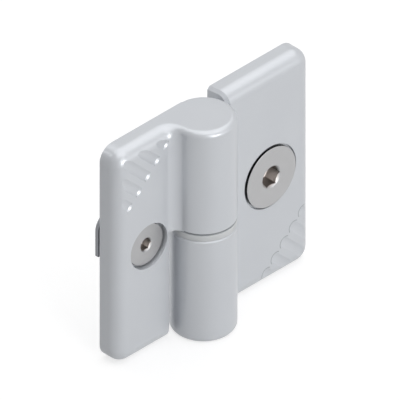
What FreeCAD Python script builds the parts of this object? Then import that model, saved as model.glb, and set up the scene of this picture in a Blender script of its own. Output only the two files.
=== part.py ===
import FreeCAD, Part
import math
import os
from FreeCAD import Vector

# Lift off hinge for slotted profiles: a wide frame leaf that carries the pin, and a
# narrower door leaf that lifts off it. All lengths are in millimetres.
# Frame: +Z up along the pin axis, x = y = 0 on the pin axis, z = 0 at the foot of the
# hinge, +Y towards the profiles it is screwed to, frame leaf on the +X side.

# Hinge as a whole
hinge_height = 60.0
knuckle_radius = 8.0
washer_thickness = 2.0
running_gap = 0.5
mount_plane = 7.2

# Leaf castings, the same pattern for both
leaf_thickness = 6.0
leaf_rim_radius = 3.25
leaf_corner_radius = 4.0
knuckle_rim_radius = 1.5
knuckle_mouth_chamfer = 0.35
web_radius = 3.0
inner_end_draft = 0.9
inner_edge_bevel = 0.75

# What differs from leaf to leaf
frame_leaf_reach = 36.9
door_leaf_reach = 27.05
frame_screw_offset = 23.3
door_screw_offset = 16.7

# Decorative flutes across the free corner of each leaf
flute_count = 5
flute_pitch = 3.0 * math.sqrt(2.0)
flute_width = 2.6
flute_depth = 0.36
flute_tip_radius = 1.65
frame_flute_start = 13.75
door_flute_start = 14.6

# Locating lugs cast on the back, one above and one below each screw
lug_height = 1.5
lug_length = 10.0
lug_clear_of_screw = 9.0
lug_edge_chamfer = 0.4
frame_slot_width = 10.0
door_slot_width = 8.0
lug_slot_play = 0.2

# Pin, bush and thrust washer
pin_radius = 4.0
pin_seat_depth = 24.0
pin_rise = 22.0
pin_tip_chamfer = 0.8
bush_wall = 1.0
bush_running_clearance = 0.05
bush_top_room = 1.0
bore_end_room = 0.5
washer_radius = 7.9
washer_bore_clearance = 0.1

# Countersunk socket screws: (thread radius, head radius, rim, across flats, socket depth, length)
frame_thread_radius = 4.0
frame_head_radius = 8.0
frame_head_rim = 0.5
frame_socket_flats = 5.0
frame_socket_depth = 3.7
frame_screw_length = 18.0
frame_head_proud = 0.45
door_thread_radius = 2.5
door_head_radius = 5.55
door_head_rim = 0.4
door_socket_flats = 3.0
door_socket_depth = 2.4
door_screw_length = 14.0
door_head_proud = -0.94
screw_seat_clearance = 0.02
shank_hole_clearance = 0.35

# Round recess that each head sits in
frame_recess_play = 0.5
door_recess_play = 0.5
recess_below_rim = 0.9

# Slot nuts behind the leaves: a plate with a shoulder that reaches into the slot
profile_lip = 4.8
nut_thread_clearance = 0.02
nut_shoulder_height = 2.6
door_nut_half_length = 6.0
door_nut_half_width = 5.6
door_nut_corner_radius = 4.2
door_nut_thickness = 1.05
frame_nut_half_length = 9.0
frame_nut_half_width = 7.0
frame_nut_corner_radius = 5.0
frame_nut_thickness = 2.4

# How far cutting bodies reach past what they cut, and the stock that is faced off the back
overshoot = 1.0
back_stock = 4.0

# Worked out from the sizes above
leaf_front = mount_plane - leaf_thickness
knuckle_length = (hinge_height - washer_thickness) / 2.0
leaf_inner_end = knuckle_radius + running_gap
screw_level = hinge_height / 2.0
bush_outer_radius = pin_radius + bush_running_clearance + bush_wall
bush_length = pin_rise + bush_top_room


def edges_where(shape, test):
    """The 1-based numbers and the edges whose midpoint passes the test."""
    found = []
    for number, edge in enumerate(shape.Edges, 1):
        middle = edge.valueAt((edge.FirstParameter + edge.LastParameter) / 2.0)
        if test(edge, middle):
            found.append((number, edge))
    return found


def near(a, b):
    return abs(a - b) < 1e-4


def face_from(points_and_arcs):
    """A flat face from a list of Line and Arc edges in order."""
    return Part.Face(Part.Wire(points_and_arcs))


def line(a, b):
    return Part.LineSegment(a, b).toShape()


def arc(a, middle, b):
    return Part.Arc(a, middle, b).toShape()


def turned(radius_depth_pairs, centre):
    """A solid of revolution about an axis along +Y through centre, from (radius, y) pairs."""
    points = [Vector(centre.x + r, y, centre.z) for r, y in radius_depth_pairs]
    outline = Part.Face(Part.makePolygon(points + [points[0]]))
    return outline.revolve(Vector(centre.x, 0, centre.z), Vector(0, 1, 0), 360)


def turned_on_pin_axis(radius_height_pairs, sweep=360.0, start=0.0):
    """A solid of revolution about the pin axis, from (radius, z) pairs."""
    points = [Vector(r, 0, z) for r, z in radius_height_pairs]
    outline = Part.Face(Part.makePolygon(points + [points[0]]))
    outline.rotate(Vector(0, 0, 0), Vector(0, 0, 1), start)
    return outline.revolve(Vector(0, 0, 0), Vector(0, 0, 1), sweep)


# Leaf casting, built as the frame leaf stands: knuckle at the bottom, leaf towards +X

def leaf_plate(reach):
    """The flat leaf: full height beside the other knuckle, half height up to the pin axis."""
    y = leaf_front
    r = leaf_corner_radius
    bow = r * (1.0 - math.sqrt(0.5))
    low_a = Vector(reach - r, y, 0)
    low_m = Vector(reach - bow, y, bow)
    low_b = Vector(reach, y, r)
    top_a = Vector(reach, y, hinge_height - r)
    top_m = Vector(reach - bow, y, hinge_height - bow)
    top_b = Vector(reach - r, y, hinge_height)
    inner_top = Vector(knuckle_radius, y, hinge_height)
    inner_low = Vector(knuckle_radius, y, knuckle_length)
    axis_top = Vector(0, y, knuckle_length)
    axis_low = Vector(0, y, 0)
    outline = face_from([
        line(axis_low, low_a),
        arc(low_a, low_m, low_b),
        line(low_b, top_a),
        arc(top_a, top_m, top_b),
        line(top_b, inner_top),
        line(inner_top, inner_low),
        line(inner_low, axis_top),
        line(axis_top, axis_low),
    ])
    return outline.extrude(Vector(0, knuckle_radius + back_stock - leaf_front, 0))


def web_centre():
    """Centre of the concave arc that runs from the knuckle into the leaf's front."""
    y = leaf_front - web_radius
    x = math.sqrt((knuckle_radius + web_radius) ** 2 - y ** 2)
    return Vector(x, y, 0)


def knuckle_and_web():
    """The knuckle with its concave web, up to the pin's plane at the back."""
    centre = web_centre()
    on_leaf = Vector(centre.x, leaf_front, 0)
    on_knuckle = centre * (knuckle_radius / (knuckle_radius + web_radius))
    towards_pin = math.degrees(math.atan2(-centre.y, -centre.x))
    half_way = math.radians((90.0 + towards_pin) / 2.0)
    web_middle = centre + Vector(math.cos(half_way), math.sin(half_way), 0) * web_radius
    web_start = math.degrees(math.atan2(centre.y, centre.x))
    far_side = math.radians((web_start - 270.0) / 2.0)
    knuckle_middle = Vector(math.cos(far_side), math.sin(far_side), 0) * knuckle_radius
    knuckle_back = Vector(0, knuckle_radius, 0)
    inside = Vector(centre.x, knuckle_radius, 0)
    outline = face_from([
        arc(on_leaf, web_middle, on_knuckle),
        arc(on_knuckle, knuckle_middle, knuckle_back),
        line(knuckle_back, inside),
        line(inside, on_leaf),
    ])
    return outline.extrude(Vector(0, 0, knuckle_length))


def rounded_rims(blank, reach):
    """Rounds the leaf's front rim and the knuckle's end rim in one tangent chain."""
    centre = web_centre()

    def on_leaf_rim(edge, p):
        at_border = near(p.z, 0) or near(p.z, hinge_height) or p.x > reach - leaf_corner_radius
        return near(p.y, leaf_front) and at_border

    def on_knuckle_rim(edge, p):
        return near(p.z, 0) and near(math.hypot(p.x, p.y), knuckle_radius)

    def on_web_rim(edge, p):
        return near(p.z, 0) and near(math.hypot(p.x - centre.x, p.y - centre.y), web_radius)

    # The web's rim comes first, so that its radius runs from one neighbour's to the other's
    wanted = [
        (on_web_rim, knuckle_rim_radius, leaf_rim_radius),
        (on_leaf_rim, leaf_rim_radius, leaf_rim_radius),
        (on_knuckle_rim, knuckle_rim_radius, knuckle_rim_radius),
    ]
    radii = [(number, first, last)
             for test, first, last in wanted
             for number, edge in edges_where(blank, test)]
    document = FreeCAD.newDocument("rims")
    base = document.addObject("Part::Feature", "blank")
    base.Shape = blank
    fillet = document.addObject("Part::Fillet", "rounded")
    fillet.Base = base
    fillet.Edges = radii
    document.recompute()
    result = fillet.Shape.copy()
    FreeCAD.closeDocument(document.Name)
    return result


def behind_mount_plane(reach):
    """Stock that is faced off the back, so that the leaf lies flat on its profile."""
    depth = knuckle_radius + back_stock + overshoot - mount_plane
    width = knuckle_radius + reach + 2.0 * overshoot
    return Part.makeBox(width, depth, hinge_height + 2.0 * overshoot,
                        Vector(-knuckle_radius - overshoot, mount_plane, -overshoot))


def inner_end_trim():
    """Wedge that trims the leaf's inner end beside the other knuckle, with its draft."""
    slope = inner_end_draft / leaf_thickness
    back_y = mount_plane + overshoot
    front_y = leaf_front - overshoot
    back_x = leaf_inner_end - slope * overshoot
    front_x = leaf_inner_end + inner_end_draft + slope * overshoot
    left = knuckle_radius - overshoot
    outline = Part.Face(Part.makePolygon([
        Vector(left, back_y, knuckle_length),
        Vector(left, front_y, knuckle_length),
        Vector(front_x, front_y, knuckle_length),
        Vector(back_x, back_y, knuckle_length),
        Vector(left, back_y, knuckle_length),
    ]))
    return outline.extrude(Vector(0, 0, hinge_height - knuckle_length + overshoot))


def inner_end_bevelled(casting):
    """Bevels the edge of the inner end along its front, over the rim and across the end."""
    slope = inner_end_draft / leaf_thickness

    def on_inner_end(edge, p):
        on_plane = near(p.x, leaf_inner_end + (mount_plane - p.y) * slope)
        return on_plane and p.z > knuckle_length + overshoot and p.y < mount_plane - 1e-3

    return casting.makeChamfer(inner_edge_bevel, [e for n, e in edges_where(casting, on_inner_end)])


def mouth_chamfer():
    """Ring that bevels the knuckle's open end, only where the round side is bare."""
    centre = web_centre()
    c = knuckle_mouth_chamfer
    e = overshoot
    outline = [
        (knuckle_radius - c - e, knuckle_length + e),
        (knuckle_radius + e, knuckle_length + e),
        (knuckle_radius + e, knuckle_length - c - e),
    ]
    back_x = -math.sqrt(knuckle_radius ** 2 - mount_plane ** 2)
    back_angle = math.degrees(math.atan2(mount_plane, back_x))
    web_start = math.degrees(math.atan2(centre.y, centre.x))
    return turned_on_pin_axis(outline, 360.0 + web_start - back_angle, back_angle)


def flute(reach, start, step):
    """Round bar with an upright, rounded end that cuts one flute, step flutes from the middle."""
    half = flute_width / 2.0
    bar_radius = (half ** 2 + flute_depth ** 2) / (2.0 * flute_depth)
    r = flute_tip_radius
    length = start + leaf_corner_radius + abs(step) * flute_pitch
    bar = Part.makeCylinder(bar_radius, length, Vector(-length, 0, 0), Vector(1, 0, 0))
    low_side = Vector(-r, -bar_radius, -r)
    high_side = Vector(-r, -bar_radius, r)
    low_end = Vector(-length, -bar_radius, -r)
    high_end = Vector(-length, -bar_radius, r)
    plan = face_from([
        line(low_end, low_side),
        arc(low_side, Vector(0, -bar_radius, 0), high_side),
        line(high_side, high_end),
        line(high_end, low_end),
    ])
    cutter = bar.common(plan.extrude(Vector(0, 2.0 * bar_radius, 0)))
    along = Vector(-1, 0, 1).normalize()
    across = Vector(1, 0, 1).normalize()
    corner = Vector(reach, leaf_front + flute_depth - bar_radius, 0)
    cutter.rotate(Vector(0, 0, 0), Vector(0, 1, 0), -135.0)
    cutter.translate(corner + along * start + across * (step * flute_pitch))
    return cutter


def lug(screw_offset, slot_width, side):
    """Locating lug on the back that keeps the leaf square in the profile's slot."""
    width = slot_width - lug_slot_play
    level = screw_level + side * lug_clear_of_screw
    low = level if side > 0 else level - lug_length
    block = Part.makeBox(width, lug_height + overshoot, lug_length,
                         Vector(screw_offset - width / 2.0, mount_plane - overshoot, low))
    back_y = mount_plane + lug_height
    rim = [e for n, e in edges_where(block, lambda edge, p: near(p.y, back_y))]
    return block.makeChamfer(lug_edge_chamfer, rim)


def screw_hole(centre, head_proud, head_radius, head_rim, thread_radius, recess_play):
    """Round recess, countersink and clearance hole for one screw."""
    s = screw_seat_clearance
    rim_y = leaf_front - head_proud + head_rim
    floor_y = rim_y + recess_below_rim
    recess = head_radius + recess_play
    floor_radius = head_radius + s - recess_below_rim
    hole = thread_radius + shank_hole_clearance
    throat_y = floor_y + floor_radius - hole
    return turned([
        (0, leaf_front - overshoot),
        (recess, leaf_front - overshoot),
        (recess, floor_y),
        (floor_radius, floor_y),
        (hole, throat_y),
        (hole, mount_plane + lug_height + overshoot),
        (0, mount_plane + lug_height + overshoot),
    ], centre)


def leaf_casting(reach, flute_start, screw_offset, slot_width, bore_radius, bore_depth, hole):
    """One leaf with its knuckle, as the frame leaf stands."""
    blank = leaf_plate(reach).fuse(knuckle_and_web()).removeSplitter()
    casting = rounded_rims(blank, reach)
    casting = casting.cut(behind_mount_plane(reach))
    casting = inner_end_bevelled(casting.cut(inner_end_trim()))
    casting = casting.cut(mouth_chamfer())
    for step in range(flute_count):
        casting = casting.cut(flute(reach, flute_start, step - (flute_count - 1) / 2.0))
    for side in (-1, 1):
        casting = casting.fuse(lug(screw_offset, slot_width, side))
    bore = Part.makeCylinder(bore_radius, bore_depth + overshoot,
                             Vector(0, 0, knuckle_length - bore_depth))
    return casting.cut(bore).cut(hole)


def frame_leaf():
    centre = Vector(frame_screw_offset, 0, screw_level)
    hole = screw_hole(centre, frame_head_proud, frame_head_radius, frame_head_rim,
                      frame_thread_radius, frame_recess_play)
    return leaf_casting(frame_leaf_reach, frame_flute_start, frame_screw_offset,
                        frame_slot_width, pin_radius, pin_seat_depth, hole)


def door_leaf():
    """The same pattern turned half a turn about +Y, so that its knuckle is on top."""
    centre = Vector(door_screw_offset, 0, screw_level)
    hole = screw_hole(centre, door_head_proud, door_head_radius, door_head_rim,
                      door_thread_radius, door_recess_play)
    casting = leaf_casting(door_leaf_reach, door_flute_start, door_screw_offset,
                           door_slot_width, bush_outer_radius,
                           bush_length + bore_end_room, hole)
    casting.rotate(Vector(0, 0, hinge_height / 2.0), Vector(0, 1, 0), 180)
    return casting


# Pin, bush and thrust washer

def hinge_pin():
    low = knuckle_length - pin_seat_depth
    top = knuckle_length + washer_thickness + pin_rise
    c = pin_tip_chamfer
    return turned_on_pin_axis([
        (0, low),
        (pin_radius, low),
        (pin_radius, top - c),
        (pin_radius - c, top),
        (0, top),
    ])


def pin_bush():
    low = knuckle_length + washer_thickness
    top = low + bush_length
    inner = pin_radius + bush_running_clearance
    return turned_on_pin_axis([
        (inner, low),
        (bush_outer_radius, low),
        (bush_outer_radius, top),
        (inner, top),
    ])


def thrust_washer():
    low = knuckle_length
    top = knuckle_length + washer_thickness
    inner = pin_radius + washer_bore_clearance
    return turned_on_pin_axis([
        (inner, low),
        (washer_radius, low),
        (washer_radius, top),
        (inner, top),
    ])


# Screws and slot nuts

def socket_screw(centre, head_top, head_radius, head_rim, thread_radius, length,
                 flats, socket_depth):
    """Countersunk head screw with a hexagon socket, its head towards -Y."""
    rim_y = head_top + head_rim
    tip_y = head_top + length
    body = turned([
        (0, head_top),
        (head_radius, head_top),
        (head_radius, rim_y),
        (thread_radius, rim_y + head_radius - thread_radius),
        (thread_radius, tip_y),
        (0, tip_y),
    ], centre)
    across_corners = flats / math.sqrt(3.0)
    corners = [Vector(centre.x + across_corners * math.cos(math.radians(60 * i)),
                      head_top - overshoot,
                      centre.z + across_corners * math.sin(math.radians(60 * i)))
               for i in range(7)]
    hexagon = Part.Face(Part.makePolygon(corners))
    return body.cut(hexagon.extrude(Vector(0, socket_depth + overshoot, 0)))


def slot_nut(centre, half_length, half_width, corner_radius, thickness, slot_width,
             thread_radius):
    """Slot nut turned across the slot: two round corners, two square ones, and a shoulder."""
    front = mount_plane + profile_lip
    r = corner_radius
    bow = r * (1.0 - math.sqrt(0.5))
    x0 = centre.x - half_length
    x1 = centre.x + half_length
    z0 = centre.z - half_width
    z1 = centre.z + half_width
    outline = face_from([
        line(Vector(x0, front, z0), Vector(x0, front, z1 - r)),
        arc(Vector(x0, front, z1 - r), Vector(x0 + bow, front, z1 - bow),
            Vector(x0 + r, front, z1)),
        line(Vector(x0 + r, front, z1), Vector(x1, front, z1)),
        line(Vector(x1, front, z1), Vector(x1, front, z0 + r)),
        arc(Vector(x1, front, z0 + r), Vector(x1 - bow, front, z0 + bow),
            Vector(x1 - r, front, z0)),
        line(Vector(x1 - r, front, z0), Vector(x0, front, z0)),
    ])
    plate = outline.extrude(Vector(0, thickness, 0))
    shoulder_front = front - nut_shoulder_height
    width = slot_width - lug_slot_play
    shoulder = Part.makeBox(width, nut_shoulder_height, width,
                            Vector(centre.x - width / 2.0, shoulder_front, centre.z - width / 2.0))
    length = nut_shoulder_height + thickness + 2.0 * overshoot
    thread = Part.makeCylinder(thread_radius + nut_thread_clearance, length,
                               Vector(centre.x, shoulder_front - overshoot, centre.z),
                               Vector(0, 1, 0))
    return plate.fuse(shoulder).cut(thread)


def frame_screw():
    centre = Vector(frame_screw_offset, 0, screw_level)
    return socket_screw(centre, leaf_front - frame_head_proud, frame_head_radius,
                        frame_head_rim, frame_thread_radius, frame_screw_length,
                        frame_socket_flats, frame_socket_depth)


def door_screw():
    centre = Vector(-door_screw_offset, 0, screw_level)
    return socket_screw(centre, leaf_front - door_head_proud, door_head_radius,
                        door_head_rim, door_thread_radius, door_screw_length,
                        door_socket_flats, door_socket_depth)


def frame_nut():
    centre = Vector(frame_screw_offset, 0, screw_level)
    return slot_nut(centre, frame_nut_half_length, frame_nut_half_width,
                    frame_nut_corner_radius, frame_nut_thickness,
                    frame_slot_width, frame_thread_radius)


def door_nut():
    centre = Vector(-door_screw_offset, 0, screw_level)
    return slot_nut(centre, door_nut_half_length, door_nut_half_width,
                    door_nut_corner_radius, door_nut_thickness,
                    door_slot_width, door_thread_radius)


pieces = {
    "frame_leaf": frame_leaf,
    "door_leaf": door_leaf,
    "hinge_pin": hinge_pin,
    "pin_bush": pin_bush,
    "thrust_washer": thrust_washer,
    "frame_screw": frame_screw,
    "frame_nut": frame_nut,
    "door_screw": door_screw,
    "door_nut": door_nut,
}

os.makedirs("parts", exist_ok=True)
for name, build in pieces.items():
    solid = build()
    solid.exportStep("parts/" + name + ".step")
    box = solid.BoundBox
    print(name, "solids", len(solid.Solids), "valid", solid.isValid(),
          "volume", round(solid.Volume, 1),
          "box", [round(v, 2) for v in (box.XMin, box.XMax, box.YMin, box.YMax, box.ZMin, box.ZMax)])
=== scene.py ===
import bpy
import bmesh
import math
from mathutils import Matrix, Vector


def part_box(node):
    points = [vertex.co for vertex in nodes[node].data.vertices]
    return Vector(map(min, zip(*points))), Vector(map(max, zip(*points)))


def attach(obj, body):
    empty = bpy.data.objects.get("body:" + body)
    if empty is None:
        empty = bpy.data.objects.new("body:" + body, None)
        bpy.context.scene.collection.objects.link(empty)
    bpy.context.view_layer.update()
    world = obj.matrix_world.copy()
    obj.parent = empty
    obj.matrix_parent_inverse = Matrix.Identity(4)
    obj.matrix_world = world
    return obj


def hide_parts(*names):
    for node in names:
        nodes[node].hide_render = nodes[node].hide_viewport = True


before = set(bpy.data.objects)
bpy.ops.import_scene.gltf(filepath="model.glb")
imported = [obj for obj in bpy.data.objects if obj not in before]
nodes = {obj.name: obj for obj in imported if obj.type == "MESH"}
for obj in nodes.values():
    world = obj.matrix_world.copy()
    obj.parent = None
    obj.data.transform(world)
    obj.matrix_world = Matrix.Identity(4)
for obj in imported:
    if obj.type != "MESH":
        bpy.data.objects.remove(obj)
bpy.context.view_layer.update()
print("frame loaded:", len(nodes), "nodes")

mm = 0.001  # the frame is in metres, and sizes below are in millimetres where no note says metres
diagonal = math.sqrt(0.5)  # of a 45 degree line, the share that runs along each axis


def toLinear(hexColour):
    channels = [int(hexColour[i:i + 2], 16) / 255 for i in (1, 3, 5)]
    linear = [c / 12.92 if c <= 0.04045 else ((c + 0.055) / 1.055) ** 2.4 for c in channels]
    return (*linear, 1.0)


white = toLinear("#FFFFFF")


def addNode(tree, kind, settings, links=None):
    # a setting goes to the input of that name or number, or else to the node itself
    node = tree.nodes.new("ShaderNode" + kind)
    for name, value in settings.items():
        if isinstance(name, int) or name in node.inputs:
            node.inputs[name].default_value = value
        else:
            setattr(node, name, value)
    for name, source in (links or {}).items():
        tree.links.new(source, node.inputs[name])
    return node


def newMaterial(name):
    material = bpy.data.materials.new(name)
    material.use_nodes = True
    tree = material.node_tree
    tree.nodes.clear()
    return material, tree


def addObject(name, data):
    item = bpy.data.objects.new(name, data)
    bpy.context.scene.collection.objects.link(item)
    return item


# Camera: the photo is an isometric view, so the lens is parallel and looks down a cube's diagonal
camera = {
    "azimuth": -45.0,               # degrees, seen from the front left
    "elevation": 35.264,            # degrees, a cube's diagonal
    "pixelsPerMm": 4.2816,          # across the view, measured on the photo
    "imageSize": 400,               # pixels
    "aim": (-0.545, 0.545, 35.51),  # the point in the middle of the picture
    "distance": 0.6,                # metres
    "clip": (0.01, 5.0),            # metres
}


def placeCamera(spec):
    data = bpy.data.cameras.new("camera")
    data.type = "ORTHO"
    data.ortho_scale = spec["imageSize"] / spec["pixelsPerMm"] * mm
    data.clip_start, data.clip_end = spec["clip"]
    turn = math.radians(spec["azimuth"])
    rise = math.radians(spec["elevation"])
    level = math.cos(rise)
    back = Vector((math.sin(turn) * level, -math.cos(turn) * level, math.sin(rise)))
    item = addObject("camera", data)
    item.location = Vector(spec["aim"]) * mm + back * spec["distance"]
    item.rotation_euler = (-back).to_track_quat("-Z", "Y").to_euler()
    bpy.context.scene.camera = item


placeCamera(camera)
print("camera placed")


# Light: a soft key low at the front with two weak fills, one large soft box overhead that draws the
# broad bright band on the rounded top edges, and two lights behind, which only the back needs.
# Places are metres from the camera's aim, and sizes are metres
lights = {
    "frontLow": {"from": (-0.1, -1.0, 0.02), "size": (0.5, 0.5), "watts": 7.2},
    "frontRight": {"from": (0.4, -0.85, 0.1), "size": (0.5, 0.5), "watts": 0.7},
    "frontHigh": {"from": (-0.24, -0.85, 0.45), "size": (0.35, 0.35), "watts": 1.0},
    "overhead": {"from": (0.14, -0.05, 0.98), "size": (1.65, 1.4), "watts": 11.0},
    "backHigh": {"from": (-0.54, 0.58, 0.6), "size": (0.2, 0.2), "watts": 0.4},
    "back": {"from": (0.1, 1.0, 0.08), "size": (0.9, 0.5), "watts": 6.5},
}


def placeLight(name, spec):
    data = bpy.data.lights.new(name, "AREA")
    data.shape = "RECTANGLE"
    data.size, data.size_y = spec["size"]
    data.energy = spec["watts"]
    item = addObject(name, data)
    item.location = Vector(camera["aim"]) * mm + Vector(spec["from"])
    item.rotation_euler = Vector(spec["from"]).to_track_quat("Z", "Y").to_euler()


for lightName, lightSpec in lights.items():
    placeLight(lightName, lightSpec)


def seenRays(tree):
    # 1 for camera, glossy and transmission rays, so that metal and glass show the background too
    path = addNode(tree, "LightPath", {})
    direct = addNode(tree, "Math", {"operation": "MAXIMUM"},
                     {0: path.outputs["Is Camera Ray"], 1: path.outputs["Is Glossy Ray"]})
    seen = addNode(tree, "Math", {"operation": "MAXIMUM"},
                   {0: direct.outputs[0], 1: path.outputs["Is Transmission Ray"]})
    return seen.outputs[0]


# World: it gives the object a faint even light, and is itself seen as white
world = {"ambient": 0.04, "seenStrength": 1.0}


def dressWorld(spec):
    surroundings = bpy.data.worlds.new("studio")
    bpy.context.scene.world = surroundings
    surroundings.use_nodes = True
    tree = surroundings.node_tree
    tree.nodes.clear()
    dim = addNode(tree, "Background", {"Color": white, "Strength": spec["ambient"]})
    bright = addNode(tree, "Background", {"Color": white, "Strength": spec["seenStrength"]})
    mix = addNode(tree, "MixShader", {},
                  {0: seenRays(tree), 1: dim.outputs[0], 2: bright.outputs[0]})
    addNode(tree, "OutputWorld", {}, {"Surface": mix.outputs[0]})


dressWorld(world)

# Floor: matt paper that keeps the hinge's shadow, with a glow that makes it white where it is seen
floor = {"size": 2.0, "colour": "#B4B4B4", "glow": 0.66}  # size in metres


def layFloor(spec):
    mesh = bpy.data.meshes.new("studioFloor")
    shape = bmesh.new()
    bmesh.ops.create_grid(shape, x_segments=1, y_segments=1, size=spec["size"] / 2)
    shape.to_mesh(mesh)
    shape.free()
    material, tree = newMaterial("paleStudioPaper")
    base = addNode(tree, "BsdfDiffuse", {"Color": toLinear(spec["colour"])})
    strength = addNode(tree, "Math", {"operation": "MULTIPLY", 1: spec["glow"]},
                       {0: seenRays(tree)})
    glow = addNode(tree, "Emission", {"Color": white}, {"Strength": strength.outputs[0]})
    both = addNode(tree, "AddShader", {}, {0: base.outputs[0], 1: glow.outputs[0]})
    addNode(tree, "OutputMaterial", {}, {"Surface": both.outputs[0]})
    mesh.materials.append(material)
    item = addObject("studioFloor", mesh)


layFloor(floor)
print("light and floor set")


# Powder coat on a zinc casting: even satin grey, the sprayed powder leaves a faint orange peel
powderCoat = {
    "light": "#C8CBCF",
    "shade": "#C3C6CB",
    "patchMm": 14.0,            # slow change between the two greys
    "peelMm": 1.1,
    "peelDepthMm": 0.004,
    "grainMm": 0.22,            # the powder's own grain is finer, drawn coarse enough to show
    "grainDepthMm": 0.0015,
    "roughness": (0.29, 0.37),
    "ior": 1.5,
    "flake": 0.25,              # share of aluminium flake in the powder
    "endLineShade": "#9CA1A5",          # painted shade in the thin lines that outline the milled flutes' ends
}


def fluteEndLines(tree, where, spec, place):
    # 1 on a thin arc of painted shade round the end of each flute, 0 elsewhere
    parts = addNode(tree, "SeparateXYZ", {}, {"Vector": where})
    x, y, z = (parts.outputs[axis] for axis in "XYZ")
    rise = addNode(tree, "Math", {"operation": "SUBTRACT"}, {0: z, 1: x})
    run = addNode(tree, "Math", {"operation": "ADD"}, {0: z, 1: x})
    shift = place["reach"] * diagonal * mm
    toTip = (place["start"] - spec["tipRadius"]) * mm
    along = addNode(tree, "Math", {"operation": "MULTIPLY_ADD", 1: diagonal, 2: shift - toTip},
                    {0: rise.outputs[0]})
    across = addNode(tree, "Math", {"operation": "MULTIPLY_ADD", 1: diagonal, 2: -shift},
                     {0: run.outputs[0]})
    aside = addNode(tree, "Math", {"operation": "PINGPONG", 1: spec["pitch"] / 2 * mm},
                    {0: across.outputs[0]})
    flat = addNode(tree, "CombineXYZ", {}, {"X": along.outputs[0], "Y": aside.outputs[0]})
    out = addNode(tree, "VectorMath", {"operation": "LENGTH"}, {"Vector": flat.outputs[0]})
    halfLine = spec["lineMm"] / 2 * mm
    line = addNode(tree, "Math",
                   {"operation": "COMPARE", 1: spec["tipRadius"] * mm + halfLine, 2: halfLine},
                   {0: out.outputs["Value"]})
    ahead = addNode(tree, "Math", {"operation": "GREATER_THAN", 1: spec["lineFromMm"] * mm},
                    {0: along.outputs[0]})
    wide = addNode(tree, "Math", {"operation": "ABSOLUTE"}, {0: across.outputs[0]})
    halfRow = (spec["count"] / 2 - spec["rowMargin"]) * spec["pitch"] * mm
    inRow = addNode(tree, "Math", {"operation": "LESS_THAN", 1: halfRow}, {0: wide.outputs[0]})
    lineEnd = (spec["front"] + spec["lineDepthMm"]) * mm
    onFace = addNode(tree, "Math", {"operation": "LESS_THAN", 1: lineEnd}, {0: y})
    share = line
    for gate in (ahead, inRow, onFace):
        share = addNode(tree, "Math", {"operation": "MULTIPLY"},
                        {0: share.outputs[0], 1: gate.outputs[0]})
    return share


def powderCoatedZinc(name, spec, milled=None):
    material, tree = newMaterial(name)
    where = addNode(tree, "TexCoord", {}).outputs["Object"]
    patches = addNode(tree, "TexNoise", {"Scale": 1 / (spec["patchMm"] * mm), "Detail": 2.0},
                      {"Vector": where})
    colour = addNode(tree, "MixRGB",
                     {"Color1": toLinear(spec["shade"]), "Color2": toLinear(spec["light"])},
                     {"Fac": patches.outputs["Fac"]})
    if milled:
        # a thin line of painted shade round each flute's end
        share = fluteEndLines(tree, where, *milled)
        colour = addNode(tree, "MixRGB", {"Color2": toLinear(spec["endLineShade"])},
                         {"Fac": share.outputs[0], "Color1": colour.outputs[0]})
    peel = addNode(tree, "TexNoise", {"Scale": 1 / (spec["peelMm"] * mm), "Detail": 1.0},
                   {"Vector": where})
    grain = addNode(tree, "TexNoise", {"Scale": 1 / (spec["grainMm"] * mm), "Detail": 2.0},
                    {"Vector": where})
    low, high = spec["roughness"]
    roughness = addNode(tree, "MapRange", {"To Min": low, "To Max": high},
                        {"Value": grain.outputs["Fac"]})
    peelBump = addNode(tree, "Bump", {"Distance": spec["peelDepthMm"] * mm},
                       {"Height": peel.outputs["Fac"]})
    grainBump = addNode(tree, "Bump", {"Distance": spec["grainDepthMm"] * mm},
                        {"Height": grain.outputs["Fac"], "Normal": peelBump.outputs[0]})
    shader = addNode(tree, "BsdfPrincipled", {"IOR": spec["ior"], "Metallic": spec["flake"]},
                     {"Base Color": colour.outputs[0], "Roughness": roughness.outputs[0],
                      "Normal": grainBump.outputs[0]})
    addNode(tree, "OutputMaterial", {}, {"Surface": shader.outputs[0]})
    return material


# Zinc-plated steel turned on a lathe: a soft metal sheen with faint rings round the screw's axis.
# Below the face it is painted dark: painted shade on the flank, painted light and shade on the
# socket's walls
turnedSteel = {
    "light": "#B1B1B2",
    "shade": "#ABABAC",
    "blotchMm": 2.5,
    "ringMm": 0.32,             # the tool's own marks are finer, drawn coarse enough to show
    "ringDepthMm": 0.0012,
    "ringWobble": 0.6,
    "roughness": (0.34, 0.46),
    # painted shade: the flank below the broken edge is drawn near black
    "flank": "#161618",
    "flankSoftMm": 0.06,        # over which the flank's painted shade fades in below the broken edge
    "flankEndMm": (2.0, 3.0),   # from the face, where the flank's painted shade fades out
    "sideWallLight": "#D2CCC8",      # painted light on the socket's side walls; the brown tint is the broached steel's
    "lowWallShade": "#A09894",       # painted shade on the socket's lowest wall
    "highWallShade": "#30302E",      # painted shade on the top wall, under the upper edge
    # shares of the way up the socket
    "wallStops": ((0.02, "lowWallShade"), (0.04, "sideWallLight"), (0.49, "sideWallLight"), (0.52, "highWallShade")),
    "wallStartMm": 0.1,         # from the face, where the entry cone starts to take the walls' painted light and shade
    "socketMarginMm": 0.02,     # round the hexagon's corners
    "unshadedBeyondMm": 6.0,       # from the face, the threaded end has no painted shade
}


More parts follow.
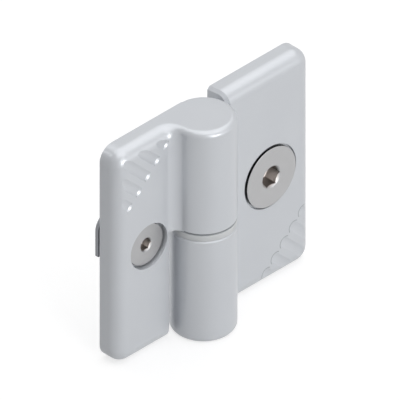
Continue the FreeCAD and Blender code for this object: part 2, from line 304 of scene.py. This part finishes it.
def paintedHeadShade(tree, where, centred, unshaded, front, spec, head):
    # the base colour, with painted shade on the flank and painted light and shade on the socket's
    # walls
    depth = addNode(tree, "SeparateXYZ", {}, {"Vector": where}).outputs["Y"]
    edgeEnd = front + head["edge"] * mm
    flankStart = addNode(tree, "MapRange",
                         {"From Min": edgeEnd, "From Max": edgeEnd + spec["flankSoftMm"] * mm},
                         {"Value": depth})
    fadeStart, fadeEnd = (front + d * mm for d in spec["flankEndMm"])
    flankEnd = addNode(tree, "MapRange",
                       {"From Min": fadeStart, "From Max": fadeEnd, "To Min": 1.0, "To Max": 0.0},
                       {"Value": depth})
    onFlank = addNode(tree, "Math", {"operation": "MULTIPLY"},
                      {0: flankStart.outputs[0], 1: flankEnd.outputs[0]})
    flank = addNode(tree, "MixRGB", {"Color2": toLinear(spec["flank"])},
                    {"Fac": onFlank.outputs[0], "Color1": unshaded.outputs[0]})

    fromAxis = addNode(tree, "SeparateXYZ", {}, {"Vector": centred.outputs[0]})
    half = head["flats"] / 2 * mm
    across = addNode(tree, "MapRange", {"From Min": -half, "From Max": half},
                     {"Value": fromAxis.outputs["Z"]})
    # painted light and shade: each socket wall takes its colour by its height across the socket
    wall = addNode(tree, "ValToRGB", {}, {"Fac": across.outputs[0]})
    stops = wall.color_ramp.elements
    stops[0].color = toLinear(spec["lowWallShade"])
    stops[1].color = toLinear(spec["highWallShade"])
    for place, key in spec["wallStops"]:
        stops.new(place).color = toLinear(spec[key])
    coneEnd = front + mouthRadius(head) * mm - half
    wallDepth = addNode(tree, "MapRange",
                        {"From Min": front + spec["wallStartMm"] * mm, "From Max": coneEnd},
                        {"Value": depth})
    socket = addNode(tree, "MixRGB", {}, {"Fac": wallDepth.outputs[0], "Color1": unshaded.outputs[0],
                                         "Color2": wall.outputs[0]})

    flat = addNode(tree, "CombineXYZ", {}, {"X": fromAxis.outputs["X"], "Z": fromAxis.outputs["Z"]})
    out = addNode(tree, "VectorMath", {"operation": "LENGTH"}, {"Vector": flat.outputs[0]})
    socketRadius = (cornerRadius(head) + spec["socketMarginMm"]) * mm
    inSocket = addNode(tree, "Math", {"operation": "LESS_THAN", 1: socketRadius},
                       {0: out.outputs["Value"]})
    shadedHead = addNode(tree, "MixRGB", {}, {"Fac": inSocket.outputs[0], "Color1": flank.outputs[0],
                                        "Color2": socket.outputs[0]})
    threadStart = front + spec["unshadedBeyondMm"] * mm
    atThread = addNode(tree, "Math", {"operation": "GREATER_THAN", 1: threadStart}, {0: depth})
    return addNode(tree, "MixRGB", {}, {"Fac": atThread.outputs[0], "Color1": shadedHead.outputs[0],
                                       "Color2": unshaded.outputs[0]})


def turnedZincPlate(name, spec, axis, middle=(0, 0, 0), front=0.0, head=None):
    material, tree = newMaterial(name)
    where = addNode(tree, "TexCoord", {}).outputs["Object"]
    centred = addNode(tree, "Mapping", {"Location": tuple(-c for c in middle)}, {"Vector": where})
    ringScale = math.tau / 20 / (spec["ringMm"] * mm)  # at scale 1 the rings repeat every tau / 20
    rings = addNode(tree, "TexWave",
                    {"wave_type": "RINGS", "rings_direction": axis, "Scale": ringScale,
                     "Distortion": spec["ringWobble"], "Detail": 1.0},
                    {"Vector": centred.outputs[0]})
    blotches = addNode(tree, "TexNoise", {"Scale": 1 / (spec["blotchMm"] * mm), "Detail": 3.0},
                       {"Vector": where})
    colour = addNode(tree, "MixRGB",
                     {"Color1": toLinear(spec["shade"]), "Color2": toLinear(spec["light"])},
                     {"Fac": blotches.outputs["Fac"]})
    if head:
        # painted shade on the flank, painted light and shade on the socket's walls
        colour = paintedHeadShade(tree, where, centred, colour, front, spec, head)
    low, high = spec["roughness"]
    roughness = addNode(tree, "MapRange", {"To Min": low, "To Max": high},
                        {"Value": blotches.outputs["Fac"]})
    bump = addNode(tree, "Bump", {"Distance": spec["ringDepthMm"] * mm},
                   {"Height": rings.outputs["Fac"]})
    shader = addNode(tree, "BsdfPrincipled", {"Metallic": 1.0},
                     {"Base Color": colour.outputs[0], "Roughness": roughness.outputs[0],
                      "Normal": bump.outputs[0]})
    addNode(tree, "OutputMaterial", {}, {"Surface": shader.outputs[0]})
    return material


# Zinc-plated steel pressed from plate and tumbled: darker and duller than the screws, finely dented
pressedSteel = {
    "light": "#84868A",
    "shade": "#7A7C80",
    "blotchMm": 2.5,
    "dentMm": 0.5,
    "dentDepthMm": 0.002,
    "roughness": (0.38, 0.5),
}


def pressedZincPlate(name, spec):
    material, tree = newMaterial(name)
    where = addNode(tree, "TexCoord", {}).outputs["Object"]
    blotches = addNode(tree, "TexNoise", {"Scale": 1 / (spec["blotchMm"] * mm), "Detail": 3.0},
                       {"Vector": where})
    colour = addNode(tree, "MixRGB",
                     {"Color1": toLinear(spec["shade"]), "Color2": toLinear(spec["light"])},
                     {"Fac": blotches.outputs["Fac"]})
    dents = addNode(tree, "TexNoise", {"Scale": 1 / (spec["dentMm"] * mm), "Detail": 1.0},
                    {"Vector": where})
    low, high = spec["roughness"]
    roughness = addNode(tree, "MapRange", {"To Min": low, "To Max": high},
                        {"Value": blotches.outputs["Fac"]})
    bump = addNode(tree, "Bump", {"Distance": spec["dentDepthMm"] * mm},
                   {"Height": dents.outputs["Fac"]})
    shader = addNode(tree, "BsdfPrincipled", {"Metallic": 1.0},
                     {"Base Color": colour.outputs[0], "Roughness": roughness.outputs[0],
                      "Normal": bump.outputs[0]})
    addNode(tree, "OutputMaterial", {}, {"Surface": shader.outputs[0]})
    return material


# Moulded acetal: waxy, slightly soft edges of light, with a fine moulded grain. A thin dark line of
# painted shade on top of the washer stands for the shadow under the upper knuckle
acetal = {
    "natural": ("#E3DFD2", "#DAD5C6"),  # light and shade, the bush
    "grey": ("#CED0D1", "#C8CACC"),     # light and shade, the washer
    "patchMm": 3.0,
    "grainMm": 0.3,                     # the real grain is finer, drawn coarse enough to show
    "grainDepthMm": 0.002,
    "roughness": (0.4, 0.5),
    "ior": 1.48,
    "grooveShade": "#969A9D",
    "grooveShadeMm": (0.34, 0.26),           # down from the top, where the painted shade starts and is full
}


def mouldedAcetal(name, colours, spec, shadedTop=None):
    material, tree = newMaterial(name)
    where = addNode(tree, "TexCoord", {}).outputs["Object"]
    patches = addNode(tree, "TexNoise", {"Scale": 1 / (spec["patchMm"] * mm), "Detail": 2.0},
                      {"Vector": where})
    light, shade = colours
    colour = addNode(tree, "MixRGB", {"Color1": toLinear(shade), "Color2": toLinear(light)},
                     {"Fac": patches.outputs["Fac"]})
    # painted shade: a thin dark line at the top, under the upper knuckle
    if shadedTop:
        height = addNode(tree, "SeparateXYZ", {}, {"Vector": where}).outputs["Z"]
        below, above = (shadedTop - d * mm for d in spec["grooveShadeMm"])
        share = addNode(tree, "MapRange", {"From Min": below, "From Max": above}, {"Value": height})
        colour = addNode(tree, "MixRGB", {"Color2": toLinear(spec["grooveShade"])},
                         {"Fac": share.outputs[0], "Color1": colour.outputs[0]})
    grain = addNode(tree, "TexNoise", {"Scale": 1 / (spec["grainMm"] * mm), "Detail": 2.0},
                    {"Vector": where})
    low, high = spec["roughness"]
    roughness = addNode(tree, "MapRange", {"To Min": low, "To Max": high},
                        {"Value": grain.outputs["Fac"]})
    bump = addNode(tree, "Bump", {"Distance": spec["grainDepthMm"] * mm},
                   {"Height": grain.outputs["Fac"]})
    shader = addNode(tree, "BsdfPrincipled", {"IOR": spec["ior"]},
                     {"Base Color": colour.outputs[0], "Roughness": roughness.outputs[0],
                      "Normal": bump.outputs[0]})
    addNode(tree, "OutputMaterial", {}, {"Surface": shader.outputs[0]})
    return material


ringSteps = 96     # a multiple of 6, so that a hexagon's corners fall on a step
seamAngle = 30.0   # degrees, an edge that turns more than this is a seam
flatAngle = 1.0    # degrees, faces that differ by less are one flat
weld = 0.001       # points nearer than this become one
roundMiddle = 0.3  # of a rounded edge's radius: how far its middle point lies in from both faces


def newPiece(name, shape, finish):
    bmesh.ops.recalc_face_normals(shape, faces=shape.faces)
    mesh = bpy.data.meshes.new(name)
    shape.to_mesh(mesh)
    shape.free()
    mesh.polygons.foreach_set("use_smooth", [True] * len(mesh.polygons))
    mesh.set_sharp_from_angle(angle=math.radians(seamAngle))
    mesh.materials.append(finish)
    item = addObject(name, mesh)
    level = item.modifiers.new("level", "WEIGHTED_NORMAL")  # keeps flats flat beside their bevels
    level.keep_sharp = True
    print(name, "faces:", len(mesh.polygons))
    return item


def standFor(item, nodeName, body):
    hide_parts(nodeName)
    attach(item, body)


def circleRing(radius, y):
    return [(radius, y)] * ringSteps


def hexagonRing(flats, y, mouth=None):
    ring = []
    for i in range(ringSteps):
        turn = (360.0 * i / ringSteps) % 60.0 - 30.0
        radius = flats / 2 / math.cos(math.radians(turn))
        sink = 0.0 if mouth is None else mouth - radius  # the entry cone's wall is at 45 degrees
        ring.append((radius, y + sink))
    return ring


def settle(verts, ring, middle):
    # each point keeps its angle and takes the ring's radius and height there
    for vert in verts:
        turn = math.atan2(vert.co.z - middle.z, vert.co.x - middle.x)
        radius, y = ring[round(turn / math.tau * ringSteps) % ringSteps]
        vert.co = (middle.x + radius * math.cos(turn) * mm, y * mm,
                   middle.z + radius * math.sin(turn) * mm)


def skin(shape, middle, rings):
    # rings of (radius, y) about an axis along Y: a circle is extruded from each to the next, and
    # its two ends are capped
    upright = Matrix.Translation(middle) @ Matrix.Rotation(math.radians(90), 4, "X")
    made = bmesh.ops.create_circle(shape, segments=ringSteps, radius=mm, cap_ends=False,
                                   matrix=upright)["verts"]
    settle(made, rings[0], middle)
    loop = list(dict.fromkeys(e for v in made for e in v.link_edges))
    ends = [loop]
    for ring in rings[1:]:
        grown = bmesh.ops.extrude_edge_only(shape, edges=loop)["geom"]
        loop = [g for g in grown if isinstance(g, bmesh.types.BMEdge)]
        settle([g for g in grown if isinstance(g, bmesh.types.BMVert)], ring, middle)
    ends.append(loop)
    for end in ends:
        bmesh.ops.holes_fill(shape, edges=end, sides=0)


# Countersunk socket screws: turned head with a broken edge, broached hexagon with its entry cone,
# rolled thread
screws = {
    "frame_screw": {"headRadius": 8.0, "rim": 0.5, "edge": 0.12, "flats": 5.0, "entry": 0.15,
                    "socketDepth": 3.7, "threadRadius": 4.0, "pitch": 1.25, "threadSteps": 48},
    "door_screw": {"headRadius": 5.55, "rim": 0.4, "edge": 0.26, "flats": 3.0, "entry": 0.19,
                   "socketDepth": 2.4, "threadRadius": 2.5, "pitch": 0.8, "threadSteps": 36},
}
thread = {
    "depth": 0.541,     # of the pitch, a metric thread's
    "start": 0.5,       # of the pitch, from the head's cone
    "lead": 0.65,       # of the pitch, the length of the point's lead-in
    "point": 0.1,       # of the pitch, how far the point stays inside the root
    "neck": 0.05,       # how much the neck stands over the root
    "neckReach": 1.5,   # of the pitch, how far past the head's cone the neck goes
}
socketEnd = {"radius": 0.05, "depth": 0.15}  # the drilled hole's end: depth is a share of the flats


def cornerRadius(spec):
    return spec["flats"] / math.sqrt(3)


def mouthRadius(spec):
    return cornerRadius(spec) + spec["entry"]


def cutThread(shape, middle, spec, start, tip):
    radius, pitch, steps = spec["threadRadius"], spec["pitch"], spec["threadSteps"]
    root = radius - thread["depth"] * pitch
    profile = [(0, radius), (1 / 16, radius), (6 / 16, root), (10 / 16, root), (15 / 16, radius),
               (1, radius)]
    points = [shape.verts.new((middle.x + r * mm, (start - pitch + s * pitch) * mm, middle.z))
              for s, r in profile]
    lines = [shape.edges.new(pair) for pair in zip(points, points[1:])]
    turns = math.ceil((tip - start) / pitch) + 2  # one to spare at each end, cut off below
    bmesh.ops.spin(shape, geom=points + lines, cent=middle, axis=(0, 1, 0),
                   dvec=(0, pitch / steps * mm, 0), angle=math.tau * turns, steps=steps * turns,
                   use_merge=False)
    bmesh.ops.remove_doubles(shape, verts=shape.verts, dist=weld * mm)
    for level, side in ((start, -1), (tip, 1)):
        every = list(shape.verts) + list(shape.edges) + list(shape.faces)
        bmesh.ops.bisect_plane(shape, geom=every, plane_co=(0, level * mm, 0),
                               plane_no=(0, side, 0), clear_outer=True)
    bmesh.ops.holes_fill(shape, edges=[e for e in shape.edges if e.is_boundary], sides=0)
    pointRadius = root - thread["point"] * pitch
    for vert in shape.verts:
        if vert.co.y / mm > tip - thread["lead"] * pitch:
            limit = (pointRadius + max(0.0, tip - vert.co.y / mm)) * mm
            across = Vector((vert.co.x - middle.x, vert.co.z - middle.z))
            if across.length > limit:
                across *= limit / across.length
                vert.co.x, vert.co.z = middle.x + across.x, middle.z + across.y
    return root


def socketScrew(name, nodeName, spec, finish):
    low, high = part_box(nodeName)
    middle = (low + high) / 2
    front, tip = low.y / mm, high.y / mm
    shape = bmesh.new()
    head, edge, pitch = spec["headRadius"], spec["edge"], spec["pitch"]
    rimEnd = front + spec["rim"]
    coneEnd = rimEnd + head - spec["threadRadius"]  # the cone's wall is at 45 degrees
    root = cutThread(shape, middle, spec, coneEnd + thread["start"] * pitch, tip)
    neck = root + thread["neck"]
    bottom = front + spec["socketDepth"]
    mouth = mouthRadius(spec)
    skin(shape, middle, [
        circleRing(socketEnd["radius"], bottom + socketEnd["depth"] * spec["flats"]),
        hexagonRing(spec["flats"], bottom),
        hexagonRing(spec["flats"], front, mouth),
        circleRing(mouth, front),
        circleRing(head - edge, front),
        circleRing(head - edge * roundMiddle, front + edge * roundMiddle),
        circleRing(head, front + edge),
        circleRing(head, rimEnd),
        circleRing(neck, rimEnd + head - neck),
        circleRing(neck, coneEnd + thread["neckReach"] * pitch),
    ])
    return newPiece(name, shape, finish)


# Slot nuts: the pressed plate and its square shoulder, with small broken edges
nuts = {"frame_nut": {"edge": 0.25}, "door_nut": {"edge": 0.2}}


def brokenEdges(name, nodeName, spec, finish):
    # starts from a bare copy of the CAD mesh, without its normals
    source = nodes[nodeName].data
    mesh = bpy.data.meshes.new(name)
    mesh.from_pydata([v.co for v in source.vertices], [],
                     [list(p.vertices) for p in source.polygons])
    shape = bmesh.new()
    shape.from_mesh(mesh)
    bpy.data.meshes.remove(mesh)
    bmesh.ops.remove_doubles(shape, verts=shape.verts, dist=weld * mm)
    bmesh.ops.dissolve_limit(shape, angle_limit=math.radians(flatAngle), verts=shape.verts,
                             edges=shape.edges)
    bmesh.ops.recalc_face_normals(shape, faces=shape.faces)
    corners = [e for e in shape.edges
               if e.is_manifold and e.calc_face_angle() > math.radians(seamAngle)]
    bmesh.ops.bevel(shape, geom=corners, offset=spec["edge"] * mm, offset_type="OFFSET", segments=2,
                    profile=0.5, affect="EDGES", clamp_overlap=True, material=-1)
    return newPiece(name, shape, finish)


# Leaf castings: the CAD leaf, but each flute's upright end becomes a short slope, as a ball-nosed
# cutter leaves it
flutes = {
    "count": 5,
    "pitch": 3.0 * math.sqrt(2.0),
    "depth": 0.36,
    "tipRadius": 1.65,
    "slope": 0.55,          # how far the foot of the end slides out
    "front": 1.2,           # the leaf's face
    "height": 60.0,         # the leaf's
    "lineMm": 0.24,         # width of the painted shade line round an end
    "lineFromMm": 0.5,      # it starts this far past the end circle's middle
    "lineDepthMm": 0.2,     # and stops this far below the face
    "rowMargin": 0.1,       # of the pitch, left free at each end of the row
    "foot": (0.002, 0.6),   # below the face, where the points of an upright end are looked for
    "footBehind": 0.05,     # behind the end circle's middle
    "footOff": 0.03,        # off the end circle
    "upright": 0.02,        # the most that an upright face's normal leans to the front
    "weldDigits": 4,        # points that agree to so many digits of a millimetre are one
}
# reach is the leaf's outer side, and start is from its corner to the flutes' tips, along the flutes
fluteStarts = {
    "frame_leaf": {"reach": 36.9, "start": 13.75, "turned": False},
    "door_leaf": {"reach": 27.05, "start": 14.6, "turned": True},  # the same, half a turn about +Y
}


def atFluteFoot(point, spec, place):
    x, y, z = point / mm
    if place["turned"]:
        x, z = -x, spec["height"] - z
    along = (place["reach"] - x + z) * diagonal
    across = (x - place["reach"] + z) * diagonal
    centre = place["start"] - spec["tipRadius"]
    shallow, deep = (spec["front"] + depth for depth in spec["foot"])
    if not shallow < y < deep or along < centre - spec["footBehind"]:
        return False
    middles = [(step - (spec["count"] - 1) / 2) * spec["pitch"] for step in range(spec["count"])]
    return any(abs(math.hypot(along - centre, across - m) - spec["tipRadius"]) < spec["footOff"]
               for m in middles)


def slopedFlutes(name, nodeName, spec, place, finish):
    # merges a copy of the CAD mesh and slides out the foot of each upright end; only the slopes get
    # new normals
    source = nodes[nodeName].data
    slide = spec["slope"] * diagonal * (-1 if place["turned"] else 1)
    points, numbers, merged = [], {}, []
    for vert in source.vertices:
        key = tuple(round(c / mm, spec["weldDigits"]) for c in vert.co)
        if key not in numbers:
            numbers[key] = len(points)
            foot = atFluteFoot(vert.co, spec, place)
            depth = (vert.co.y - spec["front"] * mm) / spec["depth"] if foot else 0.0
            points.append(vert.co + Vector((slide, 0, -slide)) * depth)
        merged.append(numbers[key])
    faces, normals = [], []
    for face in source.polygons:
        corners = [merged[v] for v in face.vertices]
        if len(set(corners)) < 3:
            continue
        faces.append(corners)
        sloped = abs(face.normal.y) < spec["upright"] and any(
            atFluteFoot(source.vertices[v].co, spec, place) for v in face.vertices)
        a, b, c = (points[v] for v in corners[:3])
        slopeNormal = (b - a).cross(c - a).normalized()
        normals += [slopeNormal if sloped else source.corner_normals[i].vector.copy()
                    for i in face.loop_indices]
    mesh = bpy.data.meshes.new(name)
    mesh.from_pydata(points, [], faces)
    mesh.polygons.foreach_set("use_smooth", [True] * len(mesh.polygons))
    mesh.normals_split_custom_set(normals)
    mesh.materials.append(finish)
    print(name, "points:", len(points), "faces:", len(faces), "of", len(source.polygons))
    return addObject(name, mesh)


# Moulded ring between the knuckles: its rounded rims leave a fine groove against both of them
washer = {"boreRadius": 4.1, "rimRound": 0.3, "steps": 160}


def mouldedWasher(name, nodeName, spec, finish):
    low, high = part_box(nodeName)
    bore, outer, bottom, top = spec["boreRadius"], high.x / mm, low.z / mm, high.z / mm
    r = spec["rimRound"]
    corner = [(0, r), (r * roundMiddle, r * roundMiddle), (r, 0)]  # in from the side, from the end
    profile = [(bore + a, bottom + b) for a, b in corner]
    profile += [(outer - a, bottom + b) for a, b in reversed(corner)]
    profile += [(outer - a, top - b) for a, b in corner]
    profile += [(bore + a, top - b) for a, b in reversed(corner)]
    shape = bmesh.new()
    points = [shape.verts.new((radius * mm, 0, z * mm)) for radius, z in profile]
    lines = [shape.edges.new(pair) for pair in zip(points, points[1:] + points[:1])]
    bmesh.ops.spin(shape, geom=points + lines, cent=(0, 0, 0), axis=(0, 0, 1), angle=math.tau,
                   steps=spec["steps"], use_merge=True)
    bmesh.ops.remove_doubles(shape, verts=shape.verts, dist=weld * mm)
    return newPiece(name, shape, finish)


def screwFinish(name, nodeName):
    low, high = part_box(nodeName)
    return turnedZincPlate(name, turnedSteel, "Y", (low + high) / 2, low.y, screws[nodeName])


coat = powderCoatedZinc("powderCoatedZinc", powderCoat)
milledCoat = powderCoatedZinc("powderCoatedMilledZinc", powderCoat,
                              (flutes, fluteStarts["frame_leaf"]))
nutPlate = pressedZincPlate("pressedZincPlate", pressedSteel)
finishes = {
    "frame_leaf": milledCoat,
    "door_leaf": coat,
    "hinge_pin": turnedZincPlate("turnedPinSteel", turnedSteel, "Z"),
    "pin_bush": mouldedAcetal("mouldedNaturalAcetal", acetal["natural"], acetal),
    "thrust_washer": mouldedAcetal("mouldedGreyAcetal", acetal["grey"], acetal,
                                   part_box("thrust_washer")[1].z),
    "frame_screw": screwFinish("turnedZincPlateFrameScrew", "frame_screw"),
    "door_screw": screwFinish("turnedZincPlateDoorScrew", "door_screw"),
    "frame_nut": nutPlate,
    "door_nut": nutPlate,
}
for nodeName, finish in finishes.items():
    nodes[nodeName].material_slots[0].material = finish
print("finishes on:", len(finishes))

frameScrew = socketScrew("frameScrew", "frame_screw", screws["frame_screw"],
                         finishes["frame_screw"])
standFor(frameScrew, "frame_screw", "frame")
doorScrew = socketScrew("doorScrew", "door_screw", screws["door_screw"],
                        finishes["door_screw"])
standFor(doorScrew, "door_screw", "door")
frameNut = brokenEdges("frameNut", "frame_nut", nuts["frame_nut"], nutPlate)
standFor(frameNut, "frame_nut", "frame")
doorNut = brokenEdges("doorNut", "door_nut", nuts["door_nut"], nutPlate)
standFor(doorNut, "door_nut", "door")
frameLeaf = slopedFlutes("frameLeaf", "frame_leaf", flutes, fluteStarts["frame_leaf"], milledCoat)
standFor(frameLeaf, "frame_leaf", "frame")
doorLeaf = slopedFlutes("doorLeaf", "door_leaf", flutes, fluteStarts["door_leaf"], coat)
standFor(doorLeaf, "door_leaf", "door")
thrustRing = mouldedWasher("thrustRing", "thrust_washer", washer, finishes["thrust_washer"])
standFor(thrustRing, "thrust_washer", "washer")

scene = bpy.context.scene
scene.view_settings.view_transform = "Standard"
